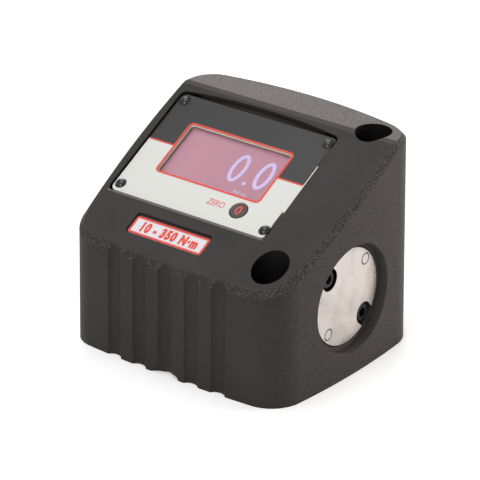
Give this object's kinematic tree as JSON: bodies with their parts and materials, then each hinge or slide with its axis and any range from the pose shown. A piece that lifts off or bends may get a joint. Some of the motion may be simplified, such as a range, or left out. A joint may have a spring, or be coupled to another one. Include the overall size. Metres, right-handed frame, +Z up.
{
  "type": "torque wrench tester",
  "caption": "Wedge-shaped bench tester for torque wrenches, with a sloping display panel, a torque shaft through its sides, upright bolt wells and a sprung zero key.",
  "frame": {"origin": "under the middle of the housing, on its flat underside", "axes": "+X along the torque shaft towards its fixed flange, +Y to the rear, +Z up"},
  "size_m": [0.1506, 0.1332, 0.1186],
  "materials": {
    "housing": "cast, with a textured dark powder coat",
    "base_plate": "satin black paint",
    "base_screws": "zinc plated",
    "ground_steel": "ground",
    "flange_screws": "black oxide",
    "dowels": "ground",
    "bush_bronze": "turned",
    "seal": "moulded",
    "gauge_foil": "polyimide foil",
    "cable": "sheathed lead",
    "connector": "moulded",
    "panel": "printed, dark above and off-white below",
    "gasket": "closed-cell foam",
    "rivets": "gloss black",
    "window": "clear pane",
    "display_frame": "moulded",
    "display": "display glass",
    "backlight": "diffuser",
    "board": "solder mask",
    "pillars": "turned",
    "board_screws": "zinc plated",
    "switch": "moulded",
    "plunger": "moulded",
    "zero_key": "dark key with a red ring",
    "range_label": "printed",
    "inlet": "moulded",
    "inlet_nut": "nickel plated"
  },
  "bodies": {
    "case": {"housing": "housing", "base_plate": "base_plate", "base_screws": "base_screws", "torque_shaft": "ground_steel", "flange_screws": "flange_screws", "flange_dowels": "dowels", "drive_bush": "bush_bronze", "drive_seal": "seal", "strain_gauges": "gauge_foil", "gauge_cable": "cable", "cable_connector": "connector", "front_panel": "panel", "panel_gasket": "gasket", "panel_rivets": "rivets", "display_window": "window", "display_frame": "display_frame", "lcd_glass": "display", "backlight": "backlight", "circuit_board": "board", "board_pillars": "pillars", "board_screws": "board_screws", "zero_switch": "switch", "range_label": "range_label", "power_inlet": "inlet", "inlet_nut": "inlet_nut"},
    "key": {"zero_key": "zero_key", "switch_plunger": "plunger"}
  },
  "joints": [
    {"name": "zero_key_press", "type": "slide", "parent": "case", "child": "key", "axis": [0, 0.4741, -0.8805], "range_m": [0, 0.0005], "stiffness_N_per_m": 3000}
  ]
}
